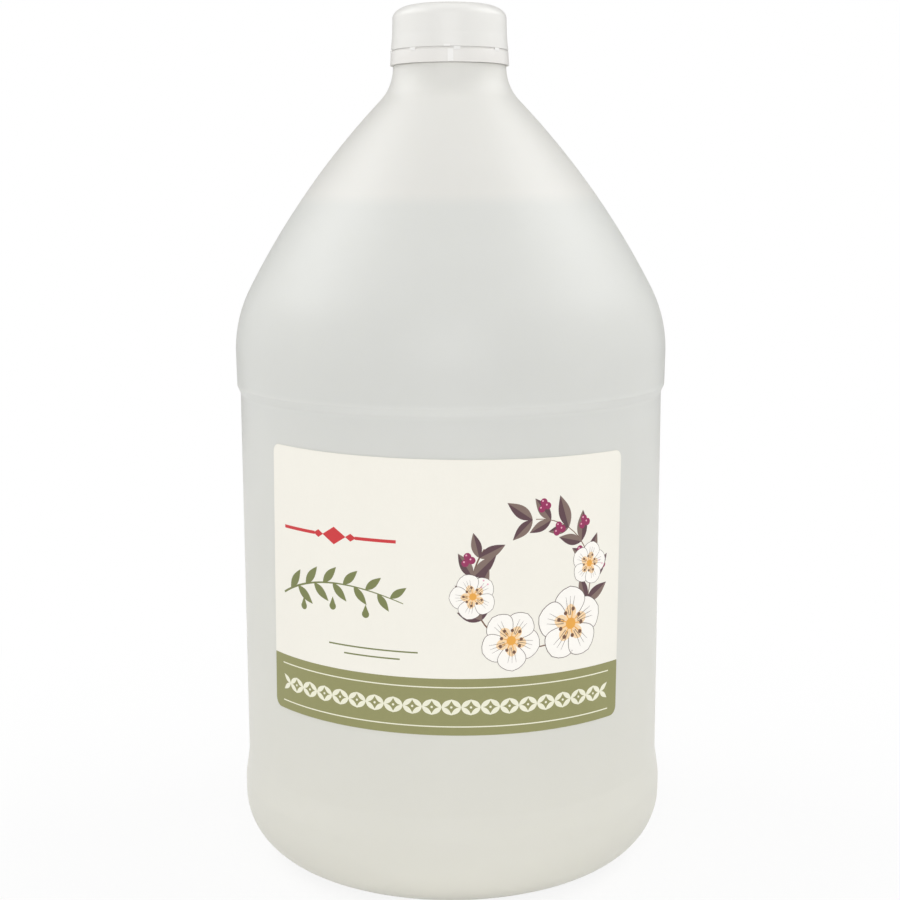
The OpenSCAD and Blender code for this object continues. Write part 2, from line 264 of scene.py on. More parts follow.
def makeUpperSkin():
    foot = jug["skinLow"]
    outline = [(0, foot), (wallRadius(foot), foot), (wallRadius(jug["stepTop"]), jug["stepTop"])]
    leanLow, leanHigh = jug["leanLow"], jug["leanHigh"]
    outline += arcPoints(shoulderMiddle, jug["shoulderArc"], 0, leanLow, jug["arcSteps"])
    outline += arcPoints(longMiddle, jug["longArc"], leanLow, leanHigh, jug["longSteps"])[1:]
    outline += arcPoints(filletMiddle, jug["neckFillet"], 180 + leanHigh, 180, jug["arcSteps"])[1:]
    top = neckLow + jug["neckOver"]
    outline += [(jug["neckRadius"], top), (0, top)]
    skin = turnOutline("upperSkin", outline, jug["steps"])

    # scoop for the fingers
    fall = grip["saddleFall"]
    low = grip["saddle"][1] - grip["saddleArc"] / math.cos(math.radians(fall))
    low -= (grip["reach"] - grip["saddle"][0]) * math.tan(math.radians(fall))
    edge = [(grip["reach"], low), (grip["reach"], grip["ceiling"][1] + grip["ceilingArc"])]
    edge += arcPoints(grip["ceiling"], grip["ceilingArc"], 90, 180, grip["ceilingSteps"])
    edge += arcPoints(grip["saddle"], grip["saddleArc"], 180, 270 - fall, grip["saddleSteps"])
    scoop = drawPath("scoop", [(-grip["half"] * mm, y * mm, z * mm) for y, z in edge])
    fillPath()
    pull(x=2 * grip["half"] * mm)
    faceOut()
    editOff()

    # bowed grip: a rounded section spun about the middle of the bow
    bow = addPlane("bow", 1)
    editOn(bow)
    pickAll()
    bpy.ops.transform.resize(value=(grip["width"] * mm, grip["thick"] * mm, 1))
    bpy.ops.mesh.bevel(offset=grip["edge"] * mm, segments=grip["edgeSteps"], affect="VERTICES")
    pickAll()
    middle = (0, grip["middle"][0] * mm, grip["middle"][1] * mm)
    bpy.ops.transform.translate(value=(0, middle[1] + grip["bow"] * mm, middle[2]))
    turnBy(math.radians(grip["low"]), "X", middle)
    upwards = -math.radians(grip["high"] - grip["low"])
    bpy.ops.mesh.spin(steps=grip["bowSteps"], angle=upwards, center=middle, axis=(1, 0, 0))
    pickAll()
    bpy.ops.mesh.remove_doubles(threshold=weld)
    bpy.ops.mesh.select_all(action="DESELECT")
    bpy.ops.mesh.select_non_manifold()
    bpy.ops.mesh.fill_holes(sides=0)
    faceOut()
    editOff()

    for tool, operation in ((scoop, "DIFFERENCE"), (bow, "UNION")):
        finishWith(skin, "BOOLEAN", object=tool, operation=operation, solver="EXACT")
    for tool in (scoop, bow):
        bpy.data.objects.remove(tool)
    finishWith(skin, "REMESH", mode="VOXEL", voxel_size=jug["voxel"] * mm, use_smooth_shade=True)

    # edges of the scoop and the grip go soft, as on blown plastic; the rest goes back to the wall
    soft = skin.vertex_groups.new(name="soft")
    for vert in skin.data.vertices:
        gap = scoopGap(vert.co.y / mm, vert.co.z / mm)
        share = (grip["softTo"] - gap) / (grip["softTo"] - grip["softFrom"])
        soft.add([vert.index], max(0, min(1, share)), "REPLACE")
    softening = {"factor": grip["softShare"], "iterations": grip["softTurns"]}
    finishWith(skin, "SMOOTH", vertex_group="soft", **softening)
    for vert in skin.data.vertices:
        weight = 1 - skin.vertex_groups["soft"].weight(vert.index)
        radius = math.hypot(vert.co.x, vert.co.y)
        if weight > 0 and radius > jug["discRadius"] * mm:
            scale = 1 + weight * (wallRadius(vert.co.z / mm) * mm / radius - 1)
            vert.co.x *= scale
            vert.co.y *= scale
    skin.vertex_groups.clear()
    editOn(skin)
    cutAt("z", jug["seamHigh"] * mm, clear_inner=True)
    cutAt("z", jug["neckCut"] * mm, clear_outer=True)
    editOff()
    return skin


def makeLowerSkin():
    corners = [
        (0, jug["pushHeight"], 0),
        (jug["standRadius"] - jug["pushRun"], jug["pushHeight"], jug["pushRound"]),
        (jug["standRadius"], 0, jug["standRound"]),
    ]
    outline = roundCorners(corners + [(jug["radius"] - jug["heel"], 0, 0)], jug["standSteps"])[:-1]
    heelMiddle = (jug["radius"] - jug["heel"], jug["heel"])
    outline += arcPoints(heelMiddle, jug["heel"], -90, 0, jug["heelSteps"])
    rings = [
        (jug["radius"], jug["heel"], 0),
        (jug["radius"], jug["baseRingTop"], jug["ringRound"]),
        (jug["panelRadius"], jug["panelLow"], jug["ringRound"]),
        (jug["panelRadius"], jug["panelHigh"], jug["creaseRound"]),
        (jug["radius"] - jug["ringDraft"], jug["stepTop"], jug["stepRound"]),
        (wallRadius(jug["seamLow"]), jug["seamLow"], 0),
    ]
    outline += roundCorners(rings, jug["ringSteps"])[1:]
    return turnOutline("lowerSkin", outline, jug["steps"])


# lower and upper skin become one, and the oil starts from the same skin
def makeJug():
    upper = makeUpperSkin()
    skin = makeLowerSkin()
    skin.name = "jugShell"
    joinInto(skin, upper)
    editOn(skin)
    pickOpenEdges(skin, lambda co: co.z < (jug["seamHigh"] + jug["seamReach"]) * mm)
    bpy.ops.mesh.bridge_edge_loops()
    faceOut()
    editOff()
    onlySelect(skin)
    bpy.ops.object.duplicate()
    oil = bpy.context.object
    oil.name = "oilFill"
    finishWith(skin, "SOLIDIFY", thickness=jug["wall"] * mm, offset=-1, use_rim=False)
    return skin, oil


# neck finish over the shell, sizes in mm
neck = {
    "root": 17.4, "collarTop": 285.09,
    "bead": 19.0, "beadLow": 287.18, "beadEdge": 287.68, "beadTop": 288.58,
    "mouth": 302.58, "bore": 15.2, "boreLow": 284.1,
    "roundings": (0, 0.08, 0.4, 0.3, 0.15, 0.25, 0.6, 0.5, 0.6, 0), "roundSteps": 4,
    "crest": 18.6, "sunk": 0.3, "pitch": 4.233, "rootWidth": 2.2, "crestWidth": 0.9,
    "threadLow": 295.393, "turns": 1.25, "fade": 40.0, "leastFade": 0.02, "threadStep": 7.5,
}


# a helical ridge: its section is drawn on round the neck a step at a time, and fades at its ends
def makeRidge(name, wall, side, low, turns, start):
    depth = neck["crest"] - neck["root"]
    half, tip = neck["rootWidth"] / 2, neck["crestWidth"] / 2
    section = [(-neck["sunk"], -half), (depth, -tip), (depth, tip), (-neck["sunk"], half)]
    ridge = drawPath(name, [((wall + side * d) * mm, 0, (low + h) * mm) for d, h in section])
    fillPath()
    count = math.ceil(turns * 360 / neck["threadStep"])
    turn, rise = 2 * math.pi * turns / count, neck["pitch"] * turns * mm / count
    for k in range(count):
        pull(z=rise)
        turnBy(turn)
    editOff()
    for vert in ridge.data.vertices:
        radius = math.hypot(vert.co.x, vert.co.y)
        stand = side * (radius - wall * mm)
        if stand > 0:
            step = vert.index // len(section)
            fade = min(1, min(step, count - step) * math.degrees(turn) / neck["fade"])
            scale = (wall * mm + side * stand * max(fade, neck["leastFade"])) / radius
            vert.co.x *= scale
            vert.co.y *= scale
    editOn(ridge)
    pickAll()
    turnBy(math.radians(start))
    faceOut()
    editOff()
    return ridge


def makeNeck(shell):
    places = [
        (jug["neckRadius"], jug["neckCut"]),
        (jug["neckRadius"], neck["collarTop"]),
        (neck["root"], neck["collarTop"]),
        (neck["root"], neck["beadLow"]),
        (neck["bead"], neck["beadLow"]),
        (neck["bead"], neck["beadEdge"]),
        (neck["root"], neck["beadTop"]),
        (neck["root"], neck["mouth"]),
        (neck["bore"], neck["mouth"]),
        (neck["bore"], neck["boreLow"]),
    ]
    outline = roundCorners(withRoundings(places, neck["roundings"]), neck["roundSteps"])
    editOn(shell)
    between = (jug["neckRadius"] - jug["wall"] / 2) * mm
    pickOpenEdges(shell, lambda co: math.hypot(co.x, co.y) > between)
    for (r0, z0), (r1, z1) in zip(outline, outline[1:]):
        bpy.ops.mesh.extrude_edges_move(TRANSFORM_OT_translate={"value": (0, 0, (z1 - z0) * mm)})
        bpy.ops.transform.resize(value=(r1 / r0, r1 / r0, 1), center_override=(0, 0, z1 * mm))
    pickOpenEdges(shell, lambda co: True)
    bpy.ops.mesh.bridge_edge_loops()
    bpy.ops.mesh.select_all(action="DESELECT")
    editOff()
    ridge = makeRidge("neckThread", neck["root"], 1, neck["threadLow"], neck["turns"], 0)
    joinInto(shell, ridge)
    softShade(shell, jug["smooth"])


# oil up to the fill line, sizes in mm
oilFill = {"top": 238.78, "gap": 1.15}


def makeOil(oil):
    editOn(oil)
    pickAll()
    bpy.ops.transform.shrink_fatten(value=-oilFill["gap"] * mm)
    cutAt("z", oilFill["top"] * mm, clear_outer=True, use_fill=True)
    editOff()
    softShade(oil, jug["smooth"])


blockStep = 2.25  # degrees
leastSteps = 3


# a block bent round the Z axis, between two radii, two heights and two angles from the front
def arcBlock(name, inner, outer, low, high, first, last):
    a = math.radians(first - 90)
    section = [(inner, low), (outer, low), (outer, high), (inner, high)]
    corners = [(r * math.cos(a) * mm, r * math.sin(a) * mm, z * mm) for r, z in section]
    block = drawPath(name, corners)
    fillPath()
    steps = max(leastSteps, math.ceil((last - first) / blockStep))
    for k in range(steps):
        pull()
        turnBy(math.radians(last - first) / steps)
    faceOut()
    editOff()
    return block


# screw cap, sizes in mm
cap = {
    "low": 290.36, "top": 305.88, "radius": 20.25, "draft": 0.15, "foot": 20.75, "footHeight": 5.0,
    "edgeWidth": 8.0, "edgeHeight": 4.5, "edgeSteps": 16,
    "inside": 18.95, "ceiling": 303.58, "cornerHeight": 2.2, "linerSeat": 17.9,
    "dish": 11.0, "dishDepth": 0.25, "dishSlope": 0.4,
    "gate": 1.3, "gateDepth": 0.35, "gateSlope": 0.3,
    "threadLow": 292.218, "threadTurns": 1.35, "threadStart": -90.0,
    "nub": (-5.6, 0.4), "nubHeight": 0.75, "nubProud": 0.16, "nubIn": 0.2,
    "topRoundings": (0, 0.12, 0.12, 0.4, 0.3), "skirtRoundings": (14, 0.2, 0.12, 0.5, 0.3, 0),
    "roundSteps": 7, "steps": 160, "smooth": 40,
}


def makeCap(white, paintedHighlight):
    dish = cap["top"] - cap["dishDepth"]
    top = [
        (0, dish - cap["gateDepth"]),
        (cap["gate"], dish - cap["gateDepth"]),
        (cap["gate"] + cap["gateSlope"], dish),
        (cap["dish"], dish),
        (cap["dish"] + cap["dishSlope"], cap["top"]),
    ]
    skirt = [
        (cap["radius"], cap["low"] + cap["footHeight"]),
        (cap["foot"], cap["low"]),
        (cap["inside"], cap["low"]),
        (cap["inside"], cap["ceiling"] - cap["cornerHeight"]),
        (cap["linerSeat"], cap["ceiling"]),
        (0, cap["ceiling"]),
    ]
    corners = withRoundings(top, cap["topRoundings"])
    # the upper edge is a quarter of an ellipse
    for k in range(cap["edgeSteps"] + 1):
        a = math.pi / 2 * (1 - k / cap["edgeSteps"])
        r = cap["radius"] - cap["draft"] - cap["edgeWidth"] * (1 - math.cos(a))
        corners.append((r, cap["top"] - cap["edgeHeight"] * (1 - math.sin(a)), 0))
    corners += withRoundings(skirt, cap["skirtRoundings"])
    shell = turnOutline("screwCap", roundCorners(corners, cap["roundSteps"]), cap["steps"])
    threadRun = (cap["threadLow"], cap["threadTurns"], cap["threadStart"])
    ridge = makeRidge("capThread", cap["inside"], -1, *threadRun)
    inner, outer = cap["inside"] + cap["nubIn"], cap["foot"] + cap["nubProud"]
    nub = arcBlock("nub", inner, outer, cap["low"], cap["low"] + cap["nubHeight"], *cap["nub"])
    for piece in (shell, ridge):
        dress(piece, white)
    # the nub gets the lighter white, a painted highlight
    dress(nub, paintedHighlight)
    joinInto(shell, ridge, nub)
    softShade(shell, cap["smooth"])
    return shell


# tamper band, sizes in mm, angles in degrees from the front towards +X
band = {
    "low": 285.18, "top": 289.72, "inside": 19.35, "radius": 20.75, "flare": 0.3, "lip": 0.2,
    "midHeight": 288.4, "hook": 18.45, "hookLow": 285.68, "hookTop": 286.88, "hookSlope": 0.5,
    "webIn": 0.42, "webTop": 290.31, "bridgeProud": 0.12, "bridgeThick": 0.9, "bridgeTop": 290.34,
    "bridgeWidth": 6.5, "bridgeTurn": 7.0, "bridgeCount": 8,
    "rib": (-1.8, 3.4), "ribProud": 0.16, "ribIn": 0.2,
    "roundings": (0, 0.2, 0.15, 0.15, 0.1, 0.15, 0.15, 0.2, 0, 0, 0.15, 0), "roundSteps": 4,
    "steps": 160, "smooth": 40,
}


def makeBand(white, paintedHighlight):
    places = [
        (band["inside"], band["midHeight"]),
        (band["inside"], band["hookTop"] + band["hookSlope"]),
        (band["hook"], band["hookTop"]),
        (band["hook"], band["hookLow"]),
        (band["inside"], band["hookLow"]),
        (band["inside"], band["low"]),
        (band["radius"] + band["flare"], band["low"]),
        (band["radius"], band["top"]),
        (band["radius"] - band["webIn"], band["top"]),
        (band["radius"] - band["webIn"], band["webTop"]),
        (band["inside"], band["webTop"]),
        (band["inside"], band["midHeight"]),
    ]
    outline = roundCorners(withRoundings(places, band["roundings"]), band["roundSteps"])
    ring = turnOutline("tamperBand", outline, band["steps"])
    outer = band["radius"] + band["bridgeProud"]
    inner = outer - band["bridgeThick"]
    low, high = band["top"] - 2 * band["lip"], band["bridgeTop"]
    blocks = []
    for k in range(band["bridgeCount"]):
        at = band["bridgeTurn"] + 360 * k / band["bridgeCount"]
        half = band["bridgeWidth"] / 2
        blocks.append(arcBlock("bridge", inner, outer, low, high, at - half, at + half))
    ribOuter = band["radius"] + band["flare"] + band["ribProud"]
    ribLow, ribTop = band["low"] + band["ribIn"], band["top"] - band["ribIn"]
    rib = arcBlock("rib", inner, ribOuter, ribLow, ribTop, *band["rib"])
    dress(ring, white)
    # the bridges and the rib get the lighter white, a painted highlight
    for block in blocks + [rib]:
        dress(block, paintedHighlight)
    joinInto(ring, rib, *blocks)
    softShade(ring, band["smooth"])
    return ring


# label on the front of the panel, sizes in mm; its art is drawn flat, with x to the right and y up
label = {
    "width": 133.5, "height": 92.1, "corner": 3.0, "cornerSteps": 8, "thick": 0.15,
    "radius": 76.35, "middle": 110.9, "turn": -2.2, "tilt": -0.9, "bandTop": -26.7,
    "slab": 0.12, "layer": 0.006, "strip": 2.0, "petalLine": 0.17,
}
layers = {"line": 1, "motif": 2, "light": 3, "berry": 5, "glint": 6, "blossom": 6}
upward = 0.9  # least rise of a normal that points up
artPieces = []


# a thin slab from a flat outline; its upper face is on the paper's face
def inkSlab(name, points, material, level=0):
    low = (level * label["layer"] - label["slab"]) * mm
    slab = drawPath(name, [(x * mm, y * mm, low) for x, y in points])
    fillPath()
    pull(z=label["slab"] * mm)
    faceOut()
    editOff()
    dress(slab, material)
    return slab


# the top face gets a drawn line round it, and the inside takes the second ink
def lineRound(slab, width, material):
    slab.data.materials.append(material)
    editOn(slab, "FACE")
    bpy.ops.mesh.select_all(action="DESELECT")
    mesh = bmesh.from_edit_mesh(slab.data)
    for face in mesh.faces:
        face.select = face.normal.z > upward
    bmesh.update_edit_mesh(slab.data)
    bpy.ops.mesh.inset(thickness=width * mm, depth=0)
    slab.active_material_index = 1
    bpy.ops.object.material_slot_assign()
    editOff()


def drawInk(name, points, material):
    artPieces.append(inkSlab(name, points, material, layers["line"]))


# a copy of a motif goes on the paper
def stamp(master, x, y, turn, size, level, wide=1):
    onlySelect(master)
    bpy.ops.object.duplicate()
    copy = bpy.context.object
    copy.location = (x * mm, y * mm, level * label["layer"] * mm)
    copy.rotation_euler = (0, 0, math.radians(turn))
    copy.scale = (size, size * wide, 1)
    artPieces.append(copy)


# shapes of the motifs, each along +x from its foot at the origin
petalShape = {"lean": 1.35, "fullness": 0.72, "tip": 0.985}
leafLean = 0.85
dropOpen = 130  # degrees from the lowest point


def petalPoints(length, width, count=14):
    side = []
    for k in range(1, count):
        t = k / count
        swell = math.sin(math.pi * t ** petalShape["lean"]) ** petalShape["fullness"]
        side.append((length * t, width / 2 * swell))
    tip = (length * petalShape["tip"], 0)
    return [(0, 0)] + [(x, -y) for x, y in side] + [tip] + side[::-1]


def leafSide(length, width, count=12):
    shares = [k / count for k in range(1, count)]
    return [(length * t, width / 2 * math.sin(math.pi * t ** leafLean)) for t in shares]


def leafPoints(length, width):
    side = leafSide(length, width)
    return [(0, 0)] + [(x, -y) for x, y in side] + [(length, 0)] + side[::-1]


def halfLeafPoints(length, width):
    return [(0, 0), (length, 0)] + leafSide(length, width)[::-1]


def diamondPoints(half, high):
    return [(half, 0), (0, high), (-half, 0), (0, -high)]


def discPoints(radius, count=18):
    turns = [2 * math.pi * k / count for k in range(count)]
    return [(radius * math.cos(a), radius * math.sin(a)) for a in turns]


def barPoints(x, y, half, thick):
    low, high = y - thick / 2, y + thick / 2
    return [(x - half, low), (x + half, low), (x + half, high), (x - half, high)]


# a drop hangs from its tip, round below
def dropPoints(length, radius, count=14):
    turns = [math.radians(dropOpen - 2 * dropOpen * k / (count - 1)) for k in range(count)]
    bowl = [(radius * math.sin(a), -radius / 2 - radius * math.cos(a)) for a in turns]
    return [(0, length)] + bowl


# a drawn line along points, which may grow thinner to its end
def linePoints(points, width, endWidth=None):
    endWidth = width if endWidth is None else endWidth
    left, right = [], []
    for k, point in enumerate(points):
        a, b = points[max(0, k - 1)], points[min(len(points) - 1, k + 1)]
        along = (Vector(b) - Vector(a)).normalized()
        half = (width + (endWidth - width) * k / (len(points) - 1)) / 2
        left.append((point[0] - along.y * half, point[1] + along.x * half))
        right.append((point[0] + along.y * half, point[1] - along.x * half))
    return right + left[::-1]


def curvePoints(start, bend, end, count=14):
    out = []
    for k in range(count + 1):
        t = k / count
        pulls = (((1 - t) ** 2, start), (2 * t * (1 - t), bend), (t ** 2, end))
        out.append(tuple(sum(share * point[axis] for share, point in pulls) for axis in (0, 1)))
    return out


# the paper, with its foot band cut off by a straight line and inked
def makePaper(inks):
    paper = addPlane("frontLabel", 1, (0, 0, -label["thick"] * mm))
    editOn(paper)
    pickAll()
    bpy.ops.transform.resize(value=(label["width"] * mm, label["height"] * mm, 1))
    corner = {"offset": label["corner"] * mm, "segments": label["cornerSteps"]}
    bpy.ops.mesh.bevel(affect="VERTICES", **corner)
    pickAll()
    pull(z=label["thick"] * mm)
    faceOut()
    cutAt("y", label["bandTop"] * mm)
    editOff()
    dress(paper, inks["paper"])
    paper.data.materials.append(inks["olive"])
    for face in paper.data.polygons:
        if face.center.y < label["bandTop"] * mm and face.normal.z > upward:
            face.material_index = 1
    return paper


# each motif is drawn once and then copied: its shape, sizes in mm and ink
motifTable = {
    "petal": (petalPoints, (10, 9.4), "line"),
    "blush": (petalPoints, (5.2, 3.4), "blush"),
    "vein": (linePoints, ([(2.2, 0), (4.5, 0.15), (7.2, 0)], 0.2, 0.06), "line"),
    "stamen": (linePoints, ([(0, 0), (3.2, 0)], 0.26), "gold"),
    "anther": (discPoints, (0.55, 10), "brown"),
    "heart": (discPoints, (1.5,), "gold"),
    "leafDark": (leafPoints, (10, 4), "plum"),
    "leafLight": (halfLeafPoints, (10, 4), "taupe"),
    "leafOlive": (leafPoints, (10, 3.6), "sage"),
    "leafCream": (leafPoints, (10, 3.8), "cream"),
    "berry": (discPoints, (1.25, 16), "berry"),
    "bead": (discPoints, (0.42, 10), "cream"),
    "glint": (discPoints, (0.32, 8), "pink"),
    "diamond": (diamondPoints, (3.4, 2.2), "red"),
    "drop": (dropPoints, (4.2, 2.1), "sage"),
}


def makeMotifs(inks):
    motifs = {}
    for name, (shape, sizes, tone) in motifTable.items():
        motifs[name] = inkSlab(name, shape(*sizes), inks[tone])
    lineRound(motifs["petal"], label["petalLine"], inks["petal"])
    return motifs


# art of the print, in mm from the label's middle
blossom = {
    "petals": 5, "veins": (-11, 0, 11),
    "stamens": 9, "stamenTurn": 20, "reach": 3.25, "reachStep": 0.6,
}
wreath = {
    "middle": (31.0, 4.4), "ring": 21.5, "foot": -90,
    "stem": (-215, 96), "stemStep": 6, "stemWidth": (0.55, 0.25),
    "leaves": (-206, -188, -168, -148, -22, -4, 16, 36, 56, 76, 94),
    "leafOut": (-38, 0.96, 0.1), "leafIn": (40, 0.78, 0.08),  # turn, size, growth
    "berries": (
        (-198, 3.6), (-178, -3.4), (-158, 3.6), (6, 3.8),
        (26, -3.6), (46, 3.7), (66, -3.2), (86, 3.4),
    ),
    "cluster": ((0, 0), (2.1, 0.9), (0.7, 2.2)), "glintOff": 0.4,
    "blossoms": (
        (13.6, -14.8, 1.3, 20), (-8.2, -18.6, 1.06, -15),
        (-21.2, -3.4, 0.8, 40), (21.0, 4.8, 0.76, 5),
    ),
}
sprig = {
    "start": (-61, -4.5), "bend": (-40, 8), "end": (-13, -2), "twigWidth": (0.75, 0.3),
    "leaves": 11, "lean": 46, "leafTurn": 2.2, "leafMiddle": 6, "leafSize": 0.9, "leafShrink": 0.02,
    "drops": ((-51, -5.6), (-38.5, -3.6), (-26, -4.8)), "dropBelow": 1.2, "dropSize": 0.62,
    "rules": ((-24, -18.2, 16), (-24, -20.8, 10)), "ruleThick": 0.5,
    "divider": (-38, 18.5), "barHalf": 7.2, "barOut": 15.2, "barThick": 1.1,
    "largeSize": 1.35, "smallSize": 0.6, "smallOut": 6.4,
}
border = {
    "margin": 4.5, "ruleIn": 3.0, "ruleThick": 0.4,
    "count": 19, "rowIn": 4, "turns": (38, 142, -38, -142), "size": 0.44,
}


def drawBlossom(motifs, x, y, size, turn, level):
    over = level + blossom["petals"]
    for k in range(blossom["petals"]):
        at = turn + 360 / blossom["petals"] * k
        stamp(motifs["petal"], x, y, at, size, level + k)
        stamp(motifs["blush"], x, y, at, size, over)
        for side in blossom["veins"]:
            stamp(motifs["vein"], x, y, at + side, size, over + 1)
    for k in range(blossom["stamens"]):
        at = turn + blossom["stamenTurn"] + 360 / blossom["stamens"] * k
        reach = size * (blossom["reach"] + blossom["reachStep"] * (k % 2))
        dx, dy = reach * math.cos(math.radians(at)), reach * math.sin(math.radians(at))
        stamp(motifs["stamen"], x, y, at, size, over + 2)
        stamp(motifs["anther"], x + dx, y + dy, at, size, over + 3)
    stamp(motifs["heart"], x, y, 0, size, over + 3)


# leaves, berries and blossoms round an open ring
def drawWreath(motifs, inks):
    def onRing(at, out=0):
        a = math.radians(at)
        reach = wreath["ring"] + out
        return wreath["middle"][0] + reach * math.cos(a), wreath["middle"][1] + reach * math.sin(a)

    stem = [onRing(at) for at in range(*wreath["stem"], wreath["stemStep"])]
    drawInk("stem", linePoints(stem, *wreath["stemWidth"]), inks["brown"])
    for k, at in enumerate(wreath["leaves"]):
        x, y = onRing(at)
        onward = at + 90 if at > wreath["foot"] else at - 90
        flip = 1 if k % 2 else -1
        for (turn, least, growth), step, wide in (
            (wreath["leafOut"], k % 3, flip), (wreath["leafIn"], (k + 1) % 3, -flip),
        ):
            size = least + growth * step
            stamp(motifs["leafDark"], x, y, onward + turn, size, layers["motif"])
            stamp(motifs["leafLight"], x, y, onward + turn, size, layers["light"], wide)
    for at, out in wreath["berries"]:
        x, y = onRing(at, out)
        off = wreath["glintOff"]
        for dx, dy in wreath["cluster"]:
            stamp(motifs["berry"], x + dx, y + dy, 0, 1, layers["berry"])
            stamp(motifs["glint"], x + dx - off, y + dy + off, 0, 1, layers["glint"])
    for dx, dy, size, turn in wreath["blossoms"]:
        x, y = wreath["middle"][0] + dx, wreath["middle"][1] + dy
        drawBlossom(motifs, x, y, size, turn, layers["blossom"])


# divider, sprig with drops and two rules on the left
def drawSprig(motifs, inks):
    x, y = sprig["divider"]
    for side in (-1, 1):
        bar = barPoints(x + side * sprig["barOut"], y, sprig["barHalf"], sprig["barThick"])
        drawInk("bar", bar, inks["red"])
        at = x + side * sprig["smallOut"]
        stamp(motifs["diamond"], at, y, 0, sprig["smallSize"], layers["motif"])
    stamp(motifs["diamond"], x, y, 0, sprig["largeSize"], layers["motif"])
    twig = curvePoints(sprig["start"], sprig["bend"], sprig["end"], 2 * sprig["leaves"] + 2)
    drawInk("twig", linePoints(twig, *sprig["twigWidth"]), inks["sage"])
    for k in range(1, sprig["leaves"] + 1):
        lean = sprig["lean"] if k % 2 else -sprig["lean"]
        lean -= sprig["leafTurn"] * (k - sprig["leafMiddle"])
        size = sprig["leafSize"] - sprig["leafShrink"] * k
        stamp(motifs["leafOlive"], *twig[2 * k], lean, size, layers["motif"])
    for x, y in sprig["drops"]:
        stamp(motifs["drop"], x, y - sprig["dropBelow"], 0, sprig["dropSize"], layers["motif"])
    for x, y, half in sprig["rules"]:
        rule = barPoints(x, y, half, sprig["ruleThick"])
        drawInk("rule", rule, inks["sage"])


# two rules and a row of leaf pairs in the foot band
def drawBorder(motifs, inks):
    reach = label["width"] / 2 - border["margin"]
    foot = -label["height"] / 2
    for y in (label["bandTop"] - border["ruleIn"], foot + border["ruleIn"]):
        rule = barPoints(0, y, reach, border["ruleThick"])
        drawInk("borderRule", rule, inks["cream"])
    gap = 2 * (reach - border["rowIn"]) / (border["count"] - 1)
    for k in range(border["count"]):
        x, y = -reach + border["rowIn"] + k * gap, (label["bandTop"] + foot) / 2
        for turn in border["turns"]:
            stamp(motifs["leafCream"], x, y, turn, border["size"], layers["motif"])
        if k < border["count"] - 1:
            stamp(motifs["bead"], x + gap / 2, y, 0, 1, layers["motif"])


def makeLabel(inks):
    paper = makePaper(inks)
    motifs = makeMotifs(inks)
    drawWreath(motifs, inks)
    drawSprig(motifs, inks)
    drawBorder(motifs, inks)
    for motif in motifs.values():
        bpy.data.objects.remove(motif)
    onlySelect(paper, *artPieces)
    bpy.ops.object.transform_apply(location=True, rotation=True, scale=True)
    bpy.ops.object.join()
    editOn(paper)
    faceOut()
    turnBy(math.radians(label["tilt"]))
    cuts = int(label["width"] / 2 / label["strip"])
    for k in range(-cuts, cuts + 1):
        cutAt("x", k * label["strip"] * mm)
    editOff()
    # wrapped on the panel
    radius = label["radius"] * mm
    for vert in paper.data.vertices:
        a = vert.co.x / radius + math.radians(label["turn"])
        out = radius + vert.co.z
        vert.co = (out * math.sin(a), -out * math.cos(a), label["middle"] * mm + vert.co.y)
    return paper


# a screen colour of 0 to 255, made linear
def colour(*screen):
    linear = [c / 255 / 12.92 if c <= 10 else ((c / 255 + 0.055) / 1.055) ** 2.4 for c in screen]
    return (*linear, 1)


def addNode(tree, kind, **values):
    made = tree.nodes.new(kind)
    for key, value in values.items():
        if hasattr(made, key):
            setattr(made, key, value)
        else:
            made.inputs[key.replace("_", " ")].default_value = value
    return made


def wire(tree, source, output, target, socket):
    tree.links.new(source.outputs[output], target.inputs[socket])


# each value is a number, or a node with the name of its output
def addMath(tree, operation, *values):
    made = addNode(tree, "ShaderNodeMath", operation=operation)
    for k, value in enumerate(values):
        if isinstance(value, tuple):
            wire(tree, *value, made, k)
        else:
            made.inputs[k].default_value = value
    return made, "Value"


def makeGroup(name, inputs, outputs):
    group = bpy.data.node_groups.new(name, "ShaderNodeTree")
    for title, kind, start in inputs:
        socket = group.interface.new_socket(name=title, in_out="INPUT", socket_type=kind)
        if start is not None:
            socket.default_value = start
    for title, kind in outputs:
        group.interface.new_socket(name=title, in_out="OUTPUT", socket_type=kind)
    return group, group.nodes.new("NodeGroupInput"), group.nodes.new("NodeGroupOutput")


# noises of the grains, with as many waves to the metre as their scale says
noises = {
    "cloud": {"Scale": 26, "Detail": 4, "Roughness": 0.55},
    "fine": {"Detail": 3, "Roughness": 0.6},
    "wave": {"Scale": 42, "Detail": 1.5, "Roughness": 0.4},
    "fibre": {"Scale": 900, "Detail": 5, "Roughness": 0.65},
    "patch": {"Scale": 60, "Detail": 2, "Roughness": 0.5},
}
noiseMiddle = 0.5
grainShares = {"fine": 0.05, "roughness": 0.16}


def addNoise(group, given, name):
    noise = addNode(group, "ShaderNodeTexNoise", **noises[name])
    wire(group, given, "Place", noise, "Vector")
    return noise


# the given tone, made lighter and darker
def varyTone(group, given, out, shift, depth):
    factor = addMath(group, "MULTIPLY_ADD", shift, (given, depth), 1)
    tinted = addNode(group, "ShaderNodeVectorMath", operation="SCALE")
    wire(group, given, "Tone", tinted, 0)
    wire(group, *factor, tinted, "Scale")
    wire(group, tinted, "Vector", out, "Color")


